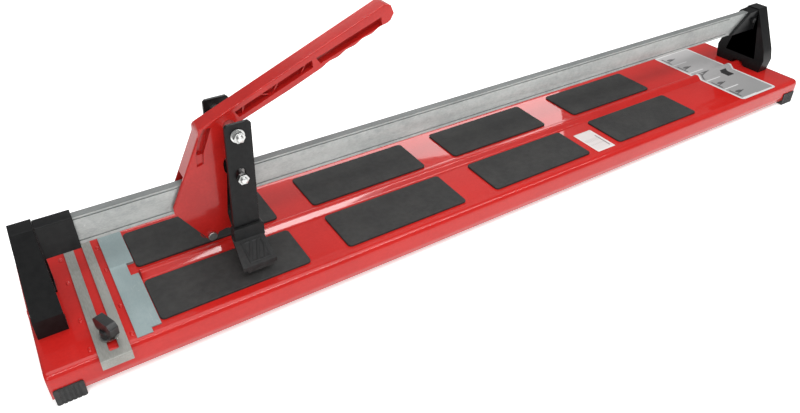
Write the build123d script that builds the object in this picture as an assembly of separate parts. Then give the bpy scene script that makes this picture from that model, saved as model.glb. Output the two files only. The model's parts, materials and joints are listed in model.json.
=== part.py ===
from build123d import *
import math
import os

# Tile cutter: a long folded steel table with a guide rail above it and a scoring carriage
# that runs along the rail.  Millimetres, +Z up, X along the rail towards the rear frame.
# The origin is on the floor, under the middle of the table.

# table
base_length = 1406.0
base_width = 229.0
sheet = 2.0
table_z = 46.0
flange_z = 11.0            # lower edge of the folded sides
bend_r = 9.0
ridge_start_x = -569.5     # the breaking ridge runs from here to the rear end
ridge_foot = 11.0          # half width where the ridge leaves the table
ridge_crest = 3.0          # half width of its crest
ridge_height = 7.0
nib_length = 9.0           # pressed nibs that guide the side bar
nib_width = 4.5
nib_height = 1.3

# rubber pads
pad_length = 200.0
pad_width = 79.5
pad_thick = 3.0
pad_gap = 16.0             # from the centre line to a pad
pad_starts_x = (-569.0, -312.0, -54.5, 214.0)

# rail and its end supports
rail_half = 6.0
rail_low = 127.0
rail_top = 166.0
rail_front_x = -660.0
rail_rear_x = 676.0
bead_height = 5.0          # lower bead of the rail
groove = 1.2               # depth of the drawn lines, and half their height is two thirds of it
rear_face_x = 666.0
rear_depth = 27.0
rear_top_z = 170.0
bracket_x = (-699.0, -665.0)
bracket_thick = 3.0
bracket_screw = (-682.0, 34.0)
holder_end_x = -624.0
front_screw_x = -648.0
front_screw_z = 150.0
front_screw_r = 2.5
clamp_x = 654.5
clamp_z = 149.0
clamp_r = 3.0
frame_bolt_y = 22.0
hole_gap = 0.1             # between a clamped screw and its hole

# carriage
upper_x = -427.0           # upper pivot bolt
upper_z = 233.0
main_x = -429.5            # main axle above the rail
front_roller_x = -467.0
roller_gap = 0.3           # between each roller and the rail
top_roller_r = 8.0
low_roller_r = 6.0
top_axle_r = 3.0
low_axle_r = 2.5
main_z = rail_top + top_roller_r + roller_gap
low_z = rail_low - low_roller_r - roller_gap
spring_x = -449.0
spring_low = 175.0
spring_top = 213.7
spring_r = 5.5
saddle_in = 6.6
saddle_out = 8.6
press_travel = 6.0
slot_width = 12.0
sleeve_r = 5.3
bolt_r = 4.0
arm_in = 36.0
arm_out = 41.0
cast_half = 13.0
cavity_half = 9.2
wheel_x = -472.0
wheel_z = 80.0
wheel_r = 12.5
wheel_axle_r = 3.0
running = 0.05             # radial running clearance
nut_across = 13.0          # M8 nuts and heads

# lever grip: a straight line up from the knuckle
knuckle = (-463.0, 238.5)
grip_angle = math.radians(22.2)
grip_end = 289.0
grip_depth = 26.0
finger_first = 168.0       # finger hollows under the grip
finger_pitch = 27.0
finger_count = 4
finger_depth = 1.8

recess_outline = [(-474.5, 188), (-473.5, 206), (-467, 225), (-459, 237), (-449.5, 237),
                  (-463, 208.5), (-466, 190)]
recess_deep = [(-472, 203), (-467, 225), (-459, 237), (-449.5, 237), (-464.5, 203)]

# side bar and its wing knob
bar_x = (-645.5, -610.5)
bar_low = table_z + 0.3
bar_thick = 2.5
bar_reach = 127.0
knob_x = -627.5
knob_y = -89.0
washer_low = bar_low + bar_thick + 0.3
washer_thick = 1.5
hub_low = washer_low + washer_thick

os.makedirs("parts", exist_ok=True)


def block(x, y, z):
    """Box from three (low, high) pairs."""
    centre = Pos((x[0] + x[1]) / 2, (y[0] + y[1]) / 2, (z[0] + z[1]) / 2)
    return centre * Box(x[1] - x[0], y[1] - y[0], z[1] - z[0])


def rod_y(x, z, radius, y):
    """Cylinder along Y between y[0] and y[1]."""
    return Pos(x, (y[0] + y[1]) / 2, z) * Rot(90, 0, 0) * Cylinder(radius, y[1] - y[0])


def rod_z(x, y, radius, z):
    """Cylinder along Z between z[0] and z[1]."""
    return Pos(x, y, (z[0] + z[1]) / 2) * Cylinder(radius, z[1] - z[0])


def plate_xz(outline, y):
    """Closed outline in X and Z, given thickness along Y from y[0] to y[1]."""
    face = make_face(Polyline(*outline, close=True))
    return Pos(0, y[1], 0) * extrude(Plane.XZ * face, amount=y[1] - y[0])


def plate_yz(outline, x):
    """Closed outline in Y and Z, given thickness along X from x[0] to x[1]."""
    face = make_face(Polyline(*outline, close=True))
    return Pos(x[0], 0, 0) * extrude(Plane.YZ * face, amount=x[1] - x[0])


def hex_y(x, z, across, y):
    """Hexagon bar along Y, for nuts and bolt heads."""
    face = RegularPolygon(across / math.sqrt(3), 6)
    return Pos(x, y[1], z) * extrude(Plane.XZ * face, amount=y[1] - y[0])


def hex_z(x, y, across, z):
    """Hexagon bar along Z."""
    return Pos(x, y, z[0]) * extrude(RegularPolygon(across / math.sqrt(3), 6), amount=z[1] - z[0])


def both_sides(shape):
    """The shape and its mirror image across the rail."""
    return [shape, mirror(shape, about=Plane.XZ)]


def save(node, shapes):
    """Write one node, a single solid or a group of separate solids."""
    shapes = shapes if isinstance(shapes, list) else [shapes]
    solids = [solid for shape in shapes for solid in shape.solids()]
    export_step(solids[0] if len(solids) == 1 else Compound(children=solids), f"parts/{node}.step")


# table

def table_section(with_ridge):
    """Half of the folded section, as a closed outline of constant sheet thickness."""
    half = base_width / 2
    steps = 6
    outer = [(half, flange_z)]
    inner = [(half - sheet, flange_z)]
    for i in range(steps + 1):
        turn = math.radians(90 * i / steps)
        outer.append((half - bend_r + bend_r * math.cos(turn), table_z - bend_r + bend_r * math.sin(turn)))
        small = bend_r - sheet
        inner.append((half - bend_r + small * math.cos(turn), table_z - bend_r + small * math.sin(turn)))
    if with_ridge:
        outer += [(ridge_foot, table_z), (ridge_crest, table_z + ridge_height), (0, table_z + ridge_height)]
        inner += [(ridge_foot - 1, table_z - sheet), (ridge_crest - 0.6, table_z + ridge_height - sheet),
                  (0, table_z + ridge_height - sheet)]
    else:
        outer.append((0, table_z))
        inner.append((0, table_z - sheet))
    return outer + inner[::-1]


def nib(x, y):
    """One pressed oblong nib on the table."""
    bump = Pos(x, y, table_z) * extrude(Rot(0, 0, 90) * SlotOverall(nib_length, nib_width), amount=nib_height)
    top = bump.edges().group_by(Axis.Z)[-1]
    return fillet(top, 0.9)


def folded_table():
    """The whole folded sheet, with its ridge, nibs and holes."""
    half = base_length / 2
    flat = plate_yz(table_section(False), (-half, ridge_start_x))
    ridged = plate_yz(table_section(True), (ridge_start_x, half))
    sides = []
    for part in (flat, ridged):
        sides += both_sides(part)
    shell = sides[0] + sides[1:]
    ridge_end = [(-ridge_foot, table_z - 1), (ridge_foot, table_z - 1), (ridge_crest, table_z + ridge_height),
                 (-ridge_crest, table_z + ridge_height)]
    shell += plate_yz(ridge_end, (ridge_start_x, ridge_start_x + sheet))
    shell += plate_yz(ridge_end, (half - sheet, half))
    inside = base_width / 2 - bend_r
    for x in ((-half, -half + sheet), (half - sheet, half)):
        shell += block(x, (-inside, inside), (flange_z, table_z - sheet / 2))
    bar_mid = (bar_x[0] + bar_x[1]) / 2
    for dx in (-23.5, 23.5):
        for y in (86, 34, -43, -97):
            shell += nib(bar_mid + dx, y)
    shell -= rod_z(knob_x, knob_y, bolt_r + hole_gap, (table_z - 5, table_z + 1))
    for y in (-frame_bolt_y, frame_bolt_y):
        shell -= rod_z(rear_face_x + rear_depth / 2 - 1, y, 4.2, (table_z - 5, table_z + 1))
    return shell


def table_pieces():
    """The table divided at its bends and beside the ridge, so that each piece is a simple slab or strip."""
    shell = folded_table()
    half_x = base_length / 2
    half_y = base_width / 2
    bend_z = table_z - bend_r
    height = (bend_z, table_z + ridge_height + 1)
    front = (-half_x, ridge_start_x)
    rear = (ridge_start_x, half_x)
    strip = ridge_foot + 1
    side = shell & block((-half_x, half_x), (-half_y, sheet - half_y), (flange_z, bend_z))
    end = shell & block((-half_x, sheet - half_x), (bend_r - half_y, half_y - bend_r), (flange_z, bend_z))
    return {"deck_front": shell & block(front, (-half_y, half_y), height),
            "deck_near": shell & block(rear, (-half_y, -strip), height),
            "deck_far": shell & block(rear, (strip, half_y), height),
            "ridge_strip": shell & block(rear, (-strip, strip), height),
            "side_flange_near": side, "side_flange_far": mirror(side, about=Plane.XZ),
            "end_flange_front": end, "end_flange_rear": mirror(end, about=Plane.YZ)}


def pad(x, side):
    """One rubber pad, with rounded corners and a softened top edge."""
    y = side * (pad_gap + pad_width / 2)
    body = extrude(RectangleRounded(pad_length, pad_width, 6), amount=pad_thick)
    body = chamfer(body.edges().group_by(Axis.Z)[-1], 0.7)
    return Pos(x + pad_length / 2, y, table_z) * body


def corner_foot(x, y):
    """Rubber cap pushed onto the lower edge of a table corner."""
    out_y = base_width / 2 + 2
    body = block((0, 33), (out_y - 18, out_y), (0, 24))
    body = fillet(body.edges().filter_by(Axis.Y), 3)
    for rib in range(5):
        body -= rod_z(6.5 + 5 * rib, out_y + 0.6, 1.4, (-1, 25))
    body -= block((-1, 34), (base_width / 2 - sheet, base_width / 2), (flange_z, 25))
    body = Pos(-base_length / 2 + sheet + 0.5, 0, 0) * body
    if x > 0:
        body = mirror(body, about=Plane.YZ)
    if y < 0:
        body = mirror(body, about=Plane.XZ)
    return body


def stop_plate():
    """Zinc plate beside the pads that the tile is pushed against; it steps over the ridge's start."""
    left, right = -600.5, -570.0
    low = table_z + 2.0
    near = block((left, right), (-95, 24), (table_z, low))
    far = block((left, right), (29, 103), (low, low + 2.0))
    jog = [(22, low), (24, low), (29, low + 2), (31, low + 2), (31, low), (27, low - 2), (22, low - 2)]
    step = plate_yz(jog, (left, right))
    under = block((left, right), (27, 103), (table_z, low))
    lip = plate_yz([(-95, table_z), (-95, low), (-108, table_z + 0.9), (-108, table_z)], (left, -582.0))
    heel = plate_yz([(-95, table_z), (-95, low), (-100, low - 0.5), (-100, table_z)], (-582.0, right))
    plate = near + far + step + under + lip + heel
    plate -= block((-579.5, right + 1), (4, 28.5), (table_z - 1, low + 3))
    return plate


# side bar

def guide_bar():
    """Slotted bar across the table with a lip over the near edge."""
    low = bar_low
    bar = block(bar_x, (-bar_reach, bar_reach), (low, low + bar_thick))
    bar += block(bar_x, (-bar_reach, -bar_reach + bar_thick), (low - 10, low + bar_thick))
    lip_edge = bar.edges().filter_by(Axis.X).sort_by(lambda e: (e.center().Y, -e.center().Z))
    bar = fillet(lip_edge[0], 1.5)
    slot = extrude(RectangleRounded(11, 224, 2), amount=10)
    return bar - Pos(knob_x, -2, low - 3) * slot


def knob_washer():
    ring = rod_z(knob_x, knob_y, 11, (washer_low, hub_low))
    return ring - rod_z(knob_x, knob_y, bolt_r + 0.3, (washer_low - 1, hub_low + 1))


def knob_stud():
    """Threaded stud that stands in the table under the wing knob."""
    shank = rod_z(knob_x, knob_y, bolt_r, (table_z - sheet, 58))
    head = hex_z(knob_x, knob_y, nut_across, (table_z - sheet - 5, table_z - sheet))
    return shank + head


def wing_knob():
    """Moulded wing knob: a round hub with one long wing."""
    hub = rod_z(knob_x, knob_y, 9, (hub_low, hub_low + 10))
    hub = fillet(hub.edges().group_by(Axis.Z)[-1], 2)
    wing_face = make_face(Polyline((-15, 56), (-17, 70), (-12, 75), (12, 75), (17, 70), (15, 56), close=True))
    wing = extrude(Plane.XZ * wing_face, amount=5.5, both=True)
    wing = fillet(wing.edges().filter_by(Axis.Y), 2.5)
    wing = Pos(knob_x, knob_y, 0) * Rot(0, 0, -68) * wing
    return hub + wing - rod_z(knob_x, knob_y, bolt_r + running, (hub_low - 1, hub_low + 8))


# rail and end supports

def rail():
    """Flat guide rail with a shallow line near each edge and a bead along the bottom."""
    mid = block((rail_front_x, rail_rear_x), (-rail_half, rail_half), (rail_low, rail_top))
    for z in (rail_low + bead_height, rail_top - 3):
        for side in (-1, 1):
            y = (side * rail_half - groove, side * rail_half + groove)
            mid -= block((rail_front_x - 1, rear_face_x - 80), y, (z - groove * 2 / 3, z + groove * 2 / 3))
    mid -= rod_y(clamp_x, clamp_z, clamp_r + hole_gap, (-rail_half - 1, rail_half + 1))
    mid -= rod_y(front_screw_x, front_screw_z, front_screw_r + hole_gap, (-rail_half - 1, rail_half + 1))
    return mid


def front_bracket():
    """Bent strip standing over the table like a narrow A."""
    thick = bracket_thick
    outer = [(50, table_z), (50, 72), (12, rear_top_z), (-12, rear_top_z), (-50, 72), (-50, table_z)]
    inner = [(-50 + thick, table_z), (-50 + thick, 71.4), (-10.2, rear_top_z - thick),
             (10.2, rear_top_z - thick), (50 - thick, 71.4), (50 - thick, table_z)]
    strip = plate_yz(outer + inner, bracket_x)
    taper = [(-705, rear_top_z + 2), (-690, rear_top_z + 2), (-699, 72), (-705, 72)]
    strip -= plate_xz(taper, (-60, 60))
    for side in (-1, 1):
        toe = block(bracket_x, (24, 50) if side > 0 else (-50, -24), (table_z, table_z + thick))
        strip += toe
        strip -= rod_z(bracket_screw[0], side * bracket_screw[1], 3.3, (table_z - 1, table_z + 5))
    return strip


def rail_front_holder():
    """Folded box that closes over the rail's front end."""
    shell = block((bracket_x[1] + 0.3, holder_end_x), (-10, 10), (124, 169))
    shell = fillet(shell.edges().filter_by(Axis.X).group_by(Axis.Z)[-1], 1.2)
    shell -= block((rail_front_x, holder_end_x + 1), (-rail_half, rail_half), (rail_low, rail_top))
    shell -= rod_y(front_screw_x, front_screw_z, front_screw_r + hole_gap, (-9.6, 11))
    return shell


def rear_frame():
    """Cast A frame with a window, a notch over the ridge and two cheeks that grip the rail."""
    outer = [(50, table_z), (54, 73), (48, 93), (12, rear_top_z), (-12, rear_top_z), (-48, 93), (-54, 73),
             (-50, table_z), (-15, table_z), (-9, table_z + 9), (9, table_z + 9), (15, table_z)]
    window = [(33, 70), (11, 119.5), (-11, 119.5), (-33, 70)]
    x = (rear_face_x, rear_face_x + rear_depth)
    frame = plate_yz(outer, x) - plate_yz(window, (x[0] - 1, x[1] + 1))
    rim = [(47, 52), (50, 73), (44.5, 91), (8.8, rear_top_z - 4), (-8.8, rear_top_z - 4), (-44.5, 91),
           (-50, 73), (-47, 52), (-16, 52), (-10, 60), (10, 60), (16, 52)]
    hole = [(36.5, 66.5), (13, 123), (-13, 123), (-36.5, 66.5)]
    recess = plate_yz(rim, (x[0] + 8, x[1] + 1)) - plate_yz(hole, (x[0], x[1] + 2))
    recess -= block((x[0], x[1] + 2), (-16, 16), (119, 175))
    recess -= block((x[0], x[1] + 2), (-60, 60), (40, 75))
    frame -= recess
    cheek = [(x[0] + 1, rear_top_z - 2), (x[0] - 24, rear_top_z - 4), (x[0] - 69, rail_low + 1),
             (x[0] + 1, rail_low + 1)]
    frame += plate_xz(cheek, (-12, 12))
    frame -= block((x[0] - 80, rail_rear_x), (-rail_half, rail_half), (rail_low, rail_top))
    frame -= rod_y(clamp_x, clamp_z, clamp_r + hole_gap, (-15, 15))
    for y in (-frame_bolt_y, frame_bolt_y):
        frame -= rod_z(x[0] + rear_depth / 2 - 1, y, 4.2, (table_z - 1, 75))
    return frame


def holder_screw():
    """Screw through the holder and the rail, with its head on the far side."""
    shank = rod_y(front_screw_x, front_screw_z, front_screw_r, (-9.5, 10))
    return shank + hex_y(front_screw_x, front_screw_z, 8.0, (10, 14))


def screw_y(x, z, radius, span, head):
    """Screw along Y with a hexagon head on the near side and a nut on the far side."""
    shank = rod_y(x, z, radius, (-span - 2, span + head + 2))
    near = hex_y(x, z, head * 2.0, (-span - head, -span))
    far = hex_y(x, z, head * 2.0, (span, span + head))
    return shank + near + far


def frame_bolts():
    """Two bolts that hold the rear frame down on the table."""
    bolts = []
    x = rear_face_x + rear_depth / 2 - 1
    for y in (-frame_bolt_y, frame_bolt_y):
        bolt = rod_z(x, y, bolt_r, (table_z - 9, 72)) + rod_z(x, y, 9, (70, 71.5))
        bolt += hex_z(x, y, nut_across, (71.5, 77))
        bolt += hex_z(x, y, nut_across, (table_z - sheet - 6, table_z - sheet))
        bolts.append(bolt)
    return bolts


def bracket_screws():
    """Two pan-head screws through the feet of the front bracket."""
    screws = []
    foot = table_z + bracket_thick
    for y in (-bracket_screw[1], bracket_screw[1]):
        screw = rod_z(bracket_screw[0], y, 3.0, (table_z, foot + 1))
        screws.append(screw + rod_z(bracket_screw[0], y, 5.5, (foot, foot + bracket_thick)))
    return screws


# carriage

def saddle():
    """Two side plates that straddle the rail, joined by the roller axles and the spring seat."""
    outline = [(-480, 150), (-479, 167), (-475, 180), (-420, 180), (-417, 150), (-420, 116), (-476, 116)]
    seat_x = (spring_x - 7, spring_x + 7)
    plates = both_sides(plate_xz(outline, (-saddle_out, -saddle_in)))
    axles = [rod_y(front_roller_x, main_z, top_axle_r, (-saddle_out, saddle_out)),
             rod_y(front_roller_x, low_z, low_axle_r, (-saddle_out, saddle_out)),
             rod_y(main_x, low_z, low_axle_r, (-saddle_out, saddle_out))]
    seat = block(seat_x, (-saddle_in, saddle_in), (spring_low - 5, spring_low))
    body = plates[0] + plates[1] + axles[0] + axles[1] + axles[2] + seat
    return body - rod_y(main_x, main_z, bolt_r, (-20, 20))


def roller(x, z, radius, bore):
    """Ball-bearing roller between the saddle plates."""
    wheel = rod_y(x, z, radius, (-5, 5))
    wheel = fillet(wheel.edges().filter_by(GeomType.CIRCLE), 0.6)
    wheel += rod_y(x, z, bore + 1.6, (-6.3, 6.3))
    return wheel - rod_y(x, z, bore + running, (-7, 7))


def main_axle():
    """Bolt over the rail with a nut at each end."""
    axle = rod_y(main_x, main_z, bolt_r, (-52, 52))
    for side in (-1, 1):
        axle += hex_y(main_x, main_z, nut_across, sorted((side * 43, side * 49.5)))
    return axle


def axle_sleeves():
    """Two identical sleeves on the main axle, which run in the slots of the arms."""
    tube = rod_y(main_x, main_z, sleeve_r, (-43, -saddle_out)) - rod_y(main_x, main_z, bolt_r, (-44, 0))
    return both_sides(tube)


def return_spring():
    """Coil spring that lifts the lever, as the plain tube it fills."""
    wall = 1.5
    tube = rod_z(spring_x, 0, spring_r, (spring_low, spring_top))
    return tube - rod_z(spring_x, 0, spring_r - wall, (spring_low - 1, spring_top + 1))


def arm():
    """Near flat arm with its slot over the main axle."""
    outline = [(-441.5, 246), (-438.5, 249), (-411, 249), (-408, 246), (-415, 92), (-450, 92)]
    plate = plate_xz(outline, (-arm_out, -arm_in))
    slot = rod_y(main_x, main_z, slot_width / 2, (-50, -30))
    slot += rod_y(main_x, main_z + press_travel + 0.5, slot_width / 2, (-50, -30))
    slot += block((main_x - slot_width / 2, main_x + slot_width / 2), (-50, -30),
                  (main_z, main_z + press_travel + 0.5))
    return plate - slot - rod_y(upper_x, upper_z, bolt_r, (-50, -30))


def under_shoe(y):
    """Height of the near shoe's sloping underside."""
    return 80 + (y + 33) * 17 / 53


def shoe():
    """Near breaker shoe: a socket round the arm and a plate that slopes down outwards."""
    socket = block((-452, -411), (-46, -33), (80, 100))
    socket = fillet(socket.edges().filter_by(Axis.Y).group_by(Axis.Z)[-1], 3)
    slope = [(-33, 86.5), (-46, 82.5), (-86, 69), (-86, under_shoe(-86)), (-33, under_shoe(-33))]
    socket += plate_yz(slope, (-459, -413))
    skew = Polyline((-460, -30), (-452.5, -30), (-459, -87), (-460, -87), close=True)
    socket -= Pos(0, 0, 50) * extrude(make_face(skew), amount=60)
    return socket - arm()


def sole():
    """Rubber sole under the near shoe."""
    inner, outer, thick = -37, -84, 6.0
    section = [(inner, under_shoe(inner)), (outer, under_shoe(outer)), (outer, under_shoe(outer) - thick),
               (inner, under_shoe(inner) - thick)]
    return plate_yz(section, (-452, -416))


def pivot_bolt():
    """Upper bolt through both arms, the spacers and the lever."""
    bolt = rod_y(upper_x, upper_z, bolt_r, (-52, 47))
    bolt += rod_y(upper_x, upper_z, 9, (-42.6, -41)) + hex_y(upper_x, upper_z, nut_across, (-49, -42.6))
    return bolt + rod_y(upper_x, upper_z, 9, (41, 42.6)) + hex_y(upper_x, upper_z, nut_across, (42.6, 48))


def spacer():
    """Near spacer tube between lever and arm."""
    tube = rod_y(upper_x, upper_z, 8, (-arm_in, -cast_half - 0.3))
    return tube - rod_y(upper_x, upper_z, bolt_r, (-50, 0))


# lever

def along_grip(distance, drop):
    """Point on the grip, a distance along its top line and a depth square to it."""
    x = knuckle[0] + distance * math.cos(grip_angle) + drop * math.sin(grip_angle)
    z = knuckle[1] + distance * math.sin(grip_angle) - drop * math.cos(grip_angle)
    return (x, z)


def lever_outline():
    """Side outline of the lever: grip, knuckle, front edge, wheel end and rear edge."""
    under = []
    steps = 6
    for i in range(finger_count * steps + 1):
        distance = finger_first + i * finger_pitch / steps
        depth = grip_depth - finger_depth * (1 - math.cos(2 * math.pi * i / steps)) / 2
        under.append(along_grip(distance, depth))
    tip = [along_grip(grip_end - 8, grip_depth - 1), along_grip(grip_end, 19), along_grip(grip_end, 7),
           along_grip(grip_end - 7, 0)]
    wheel_end = []
    for i in range(7):
        turn = math.radians(-20 - 25 * i)
        wheel_end.append((wheel_x + 7 * math.cos(turn), wheel_z + 7 * math.sin(turn)))
    rear = [along_grip(120, grip_depth), along_grip(46, 23.5), (-415, 226), (-421, 213), (-438, 177),
            (-441.5, 149), (-447, 108), (-444.5, 81.5), (-452, 84.5), (-462, 82.5)]
    front = [(-512.5, 131.5), (-512.5, 139)]
    crown = [(-466.5, 230), (-466, 234.5)]
    return [knuckle] + tip[::-1] + under[::-1] + rear + wheel_end + front + crown


def grip_pocket(start, end, top, low, taper):
    """Pocket between two distances along the grip, the same depth from both sides."""
    outline = [along_grip(start, top), along_grip(end, top + taper), along_grip(end - 3, low + taper),
               along_grip(start + 2, low)]
    return both_sides(plate_xz(outline, (-cast_half - 1, -4)))


def lever():
    """Cast L-shaped lever with open pockets, straddling the rail."""
    body = plate_xz(lever_outline(), (-cast_half, cast_half))
    rim = body.edges().filter_by(Axis.Y, reverse=True)
    front = [edge for edge in rim if edge.center().X < -465 and 140 < edge.center().Z < 232]
    body = fillet(front, 3.5)
    rim = body.edges().filter_by(Axis.Y, reverse=True)
    body = fillet([edge for edge in rim if edge.center().X > -460 and edge.center().Z > 200], 1.5)
    for pocket in grip_pocket(46, 162, 7, 17, 1) + grip_pocket(168, 270, 9, 19.5, 4):
        body -= pocket
    for low, top in ((52, 60), (96, 80), (97, 114), (140, 156)):
        rib = [along_grip(low, 18.5), along_grip(low + 2.5, 18.5), along_grip(top + 2.5, 6.5),
               along_grip(top, 6.5)]
        body += plate_xz(rib, (-9, 9))
    cavity = [(-530, 178), (-486, 178), (-475.5, 199), (-400, 199), (-400, 60), (-530, 60)]
    body -= plate_xz(cavity, (-cavity_half, cavity_half))
    body -= rod_z(spring_x, 0, spring_r + 2, (190, spring_top + 0.3))
    relief = rod_y(main_x, main_z, 12.5, (-20, 20)) + rod_y(main_x, main_z + press_travel, 12.5, (-20, 20))
    relief += block((main_x - 12.5, main_x + 30), (-20, 20), (main_z, main_z + press_travel))
    body -= relief
    body -= rod_y(upper_x, upper_z, bolt_r + running, (-20, 20))
    body -= rod_y(wheel_x, wheel_z, wheel_axle_r, (-20, 20))
    for recess in both_sides(plate_xz(recess_outline, (-cast_half - 1, -10))):
        body -= recess
    for recess in both_sides(plate_xz(recess_deep, (-cast_half - 1, -4.5))):
        body -= recess
    return body


def wheel_axle():
    """Short axle of the scoring wheel, with a head on each cheek."""
    axle = rod_y(wheel_x, wheel_z, wheel_axle_r, (-14, 14))
    for side in (-1, 1):
        axle += rod_y(wheel_x, wheel_z, 6.0, sorted((side * 13, side * 17)))
    return axle


def scoring_wheel():
    """Hardened wheel with a bevelled edge and a hub that fills the space between the cheeks."""
    half = 1.5
    profile = [(wheel_axle_r + running, -9), (5.2, -9), (5.2, -half), (wheel_r - 2, -half), (wheel_r, 0),
               (wheel_r - 2, half), (5.2, half), (5.2, 9), (wheel_axle_r + running, 9)]
    ring = revolve(Plane.XZ * make_face(Polyline(*profile, close=True)), axis=Axis.Z)
    return Pos(wheel_x, 0, wheel_z) * Rot(90, 0, 0) * ring


# write every node

for name, piece in table_pieces().items():
    save(name, piece)
number = 0
for start_x in pad_starts_x:
    for side in (1, -1):
        number += 1
        save(f"pad_{number}", pad(start_x, side))
corners = {"front_near": (-1, -1), "front_far": (-1, 1), "rear_near": (1, -1), "rear_far": (1, 1)}
for name, (x, y) in corners.items():
    save(f"foot_{name}", corner_foot(x, y))
save("stop_plate", stop_plate())
save("guide_bar", guide_bar())
save("knob_washer", knob_washer())
save("knob_stud", knob_stud())
save("wing_knob", wing_knob())
save("rail", rail())
save("front_bracket", front_bracket())
save("bracket_screws", bracket_screws())
save("rail_front_holder", rail_front_holder())
save("holder_screw", holder_screw())
save("rear_frame", rear_frame())
save("rail_clamp_bolt", screw_y(clamp_x, clamp_z, clamp_r, 12, 5))
save("frame_bolts", frame_bolts())
save("saddle", saddle())
save("top_roller_front", roller(front_roller_x, main_z, top_roller_r, top_axle_r))
save("top_roller_rear", roller(main_x, main_z, top_roller_r, bolt_r))
save("low_roller_front", roller(front_roller_x, low_z, low_roller_r, low_axle_r))
save("low_roller_rear", roller(main_x, low_z, low_roller_r, low_axle_r))
save("main_axle", main_axle())
save("axle_sleeves", axle_sleeves())
save("return_spring", return_spring())
for name, shape in (("arm", arm()), ("shoe", shoe()), ("sole", sole()), ("spacer", spacer())):
    near, far = both_sides(shape)
    save(f"{name}_near", near)
    save(f"{name}_far", far)
save("pivot_bolt", pivot_bolt())
save("lever", lever())
save("wheel_axle", wheel_axle())
save("scoring_wheel", scoring_wheel())
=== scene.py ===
import json
import math
import bmesh
import bpy
import numpy as np
from mathutils import Matrix, Vector


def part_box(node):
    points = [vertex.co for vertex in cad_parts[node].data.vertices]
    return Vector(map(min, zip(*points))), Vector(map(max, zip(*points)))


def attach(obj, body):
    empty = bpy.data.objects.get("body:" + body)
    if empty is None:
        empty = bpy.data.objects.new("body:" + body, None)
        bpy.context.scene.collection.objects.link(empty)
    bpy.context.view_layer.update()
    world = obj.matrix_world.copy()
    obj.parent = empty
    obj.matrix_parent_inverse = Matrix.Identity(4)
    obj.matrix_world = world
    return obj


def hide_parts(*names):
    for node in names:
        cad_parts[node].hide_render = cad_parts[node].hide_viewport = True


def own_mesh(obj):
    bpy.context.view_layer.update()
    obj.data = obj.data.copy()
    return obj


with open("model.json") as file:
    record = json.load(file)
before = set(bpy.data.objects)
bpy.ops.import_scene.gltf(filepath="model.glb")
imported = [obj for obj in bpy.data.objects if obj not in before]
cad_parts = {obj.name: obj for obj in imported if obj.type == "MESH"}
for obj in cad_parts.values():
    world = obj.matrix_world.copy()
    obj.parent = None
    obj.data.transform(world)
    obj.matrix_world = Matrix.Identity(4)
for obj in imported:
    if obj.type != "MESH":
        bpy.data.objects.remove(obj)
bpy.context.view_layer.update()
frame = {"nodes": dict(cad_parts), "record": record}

scene = bpy.context.scene
nodes = frame["nodes"]
scene.view_settings.view_transform = "Standard"
bodyOf = {n: b for b, group in frame["record"]["behaviour"]["bodies"].items() for n in group}
slotOf = {s["node"]: s["material_slot"] for s in frame["record"]["subparts"]}
print("tile cutter: frame loaded,", len(nodes), "nodes")


def newGroup(name, inputs, outputs):
    group = bpy.data.node_groups.new(name, "ShaderNodeTree")
    for label, kind, value in inputs:
        socket = group.interface.new_socket(name=label, in_out="INPUT", socket_type=kind)
        if value is not None:
            socket.default_value = value
    for label, kind in outputs:
        group.interface.new_socket(name=label, in_out="OUTPUT", socket_type=kind)
    return group, group.nodes.new("NodeGroupInput"), group.nodes.new("NodeGroupOutput")


def addNode(tree, kind, **settings):
    node = tree.nodes.new(kind)
    for key, value in settings.items():
        setattr(node, key, value)
    return node


def mathNode(tree, operation, a, b=None, clamp=False):
    node = addNode(tree, "ShaderNodeMath", operation=operation, use_clamp=clamp)
    for i, value in enumerate((a, b)):
        if value is None:
            continue
        if isinstance(value, (int, float)):
            node.inputs[i].default_value = value
        else:
            tree.links.new(value, node.inputs[i])
    return node.outputs[0]


def mixColor(tree, factor, a, b):
    node = addNode(tree, "ShaderNodeMix", data_type="RGBA")
    for socket, value in ((node.inputs[0], factor), (node.inputs[6], a), (node.inputs[7], b)):
        if isinstance(value, (int, float)):
            socket.default_value = value
        elif isinstance(value, (tuple, list)):
            socket.default_value = (*value[:3], 1)
        else:
            tree.links.new(value, socket)
    return node.outputs[2]


def noiseOf(tree, vector, scale, detail=3.0, rough=0.55):
    node = addNode(tree, "ShaderNodeTexNoise")
    tree.links.new(vector, node.inputs["Vector"])
    if isinstance(scale, (int, float)):
        node.inputs["Scale"].default_value = scale
    else:
        tree.links.new(scale, node.inputs["Scale"])
    node.inputs["Detail"].default_value = detail
    node.inputs["Roughness"].default_value = rough
    return node.outputs["Fac"]


def rampOf(tree, value, low, high):
    node = addNode(tree, "ShaderNodeMapRange")
    tree.links.new(value, node.inputs["Value"])
    for key, number in (("From Min", low), ("From Max", high)):
        if isinstance(number, (int, float)):
            node.inputs[key].default_value = number
        else:
            tree.links.new(number, node.inputs[key])
    return node.outputs["Result"]


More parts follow.
